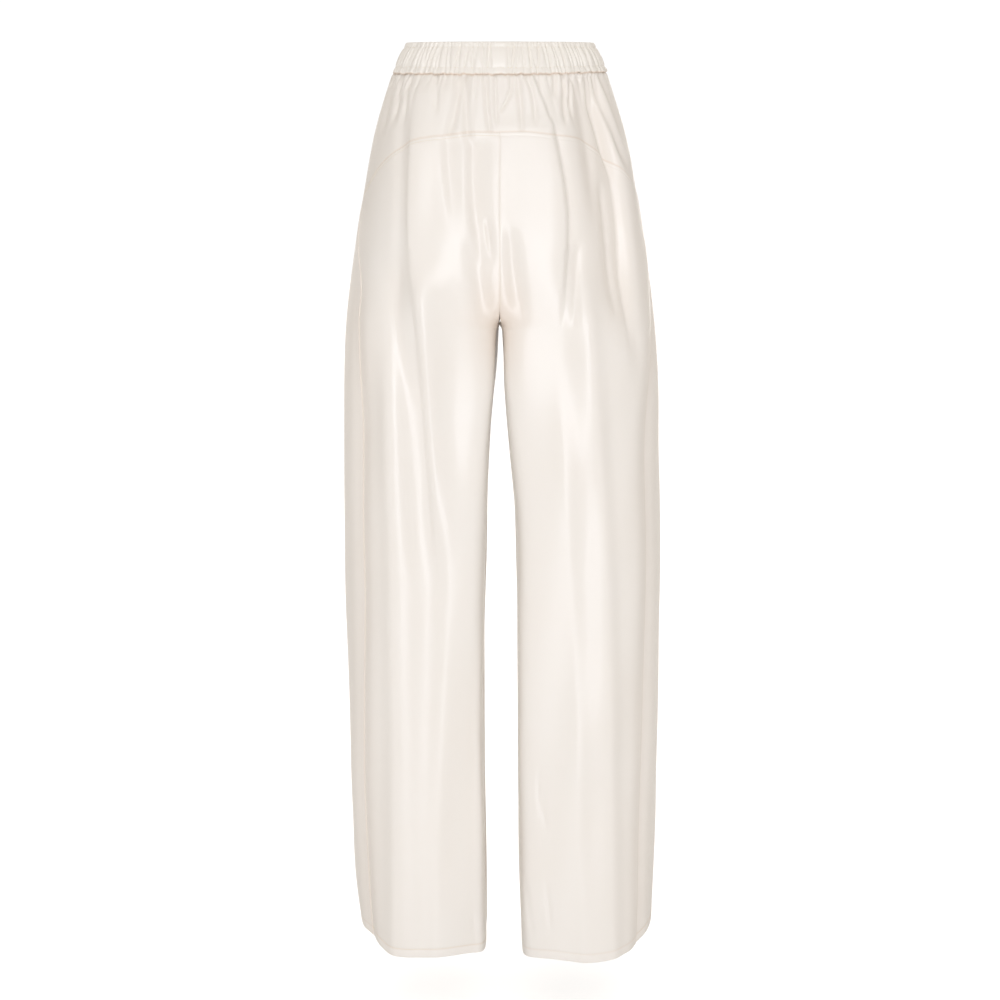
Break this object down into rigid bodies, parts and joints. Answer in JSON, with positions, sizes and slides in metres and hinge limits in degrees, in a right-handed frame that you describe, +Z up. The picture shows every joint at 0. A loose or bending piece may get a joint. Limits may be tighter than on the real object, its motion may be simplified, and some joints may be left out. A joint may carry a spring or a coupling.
{
  "type": "wide-leg satin track pants, filled out as worn and held by the wearer's waist",
  "caption": "Wide-leg pull-on satin track pants with a gathered elastic waistband and a curved back yoke, hollow and filled out as worn.",
  "frame": {"origin": "middle of the waist opening, halfway up the waistband, where the wearer's waist holds the garment", "axes": "+Z up along the legs towards the waist, -Y out of the back of the garment, +X to the right as seen from behind"},
  "size_m": [0.3915, 0.23, 1.1255],
  "materials": {
    "satin": "ivory silk satin, soft sheen",
    "gathered_satin": "ivory silk satin gathered over elastic"
  },
  "bodies": {
    "root": {"waistband": "gathered_satin", "back_yoke": "satin", "back_leg_left": "satin", "back_leg_right": "satin", "front_leg_left": "satin", "front_leg_right": "satin"}
  },
  "joints": []
}
